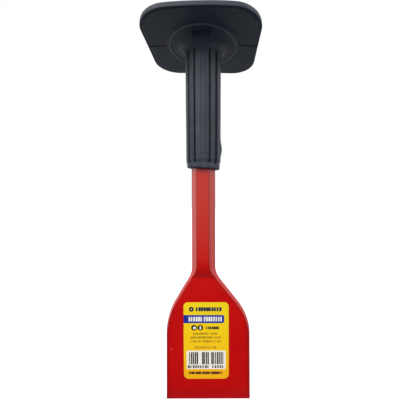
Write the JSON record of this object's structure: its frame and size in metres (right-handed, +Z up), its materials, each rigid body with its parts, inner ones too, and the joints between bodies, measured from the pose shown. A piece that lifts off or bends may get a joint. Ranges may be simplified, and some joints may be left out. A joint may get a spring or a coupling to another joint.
{
  "type": "brick bolster chisel",
  "caption": "Struck hand chisel: painted hexagonal bar forged into a broad flat blade, with a soft moulded sleeve that spreads into a guard plate below the struck head.",
  "frame": {"origin": "middle of the straight cutting edge", "axes": "+Z up the bar from the cutting edge to the struck head, +X across the blade, -Y out of the labelled front face"},
  "size_m": [0.075, 0.072, 0.26],
  "materials": {
    "painted_steel": "glossy red enamel over forged steel",
    "soft_grip": "satin blue-black soft PVC moulding",
    "label_paper": "semi-gloss printed paper, yellow"
  },
  "bodies": {
    "root": {"forged_chisel": "painted_steel", "hand_guard_grip": "soft_grip", "blade_label": "label_paper"}
  },
  "joints": []
}
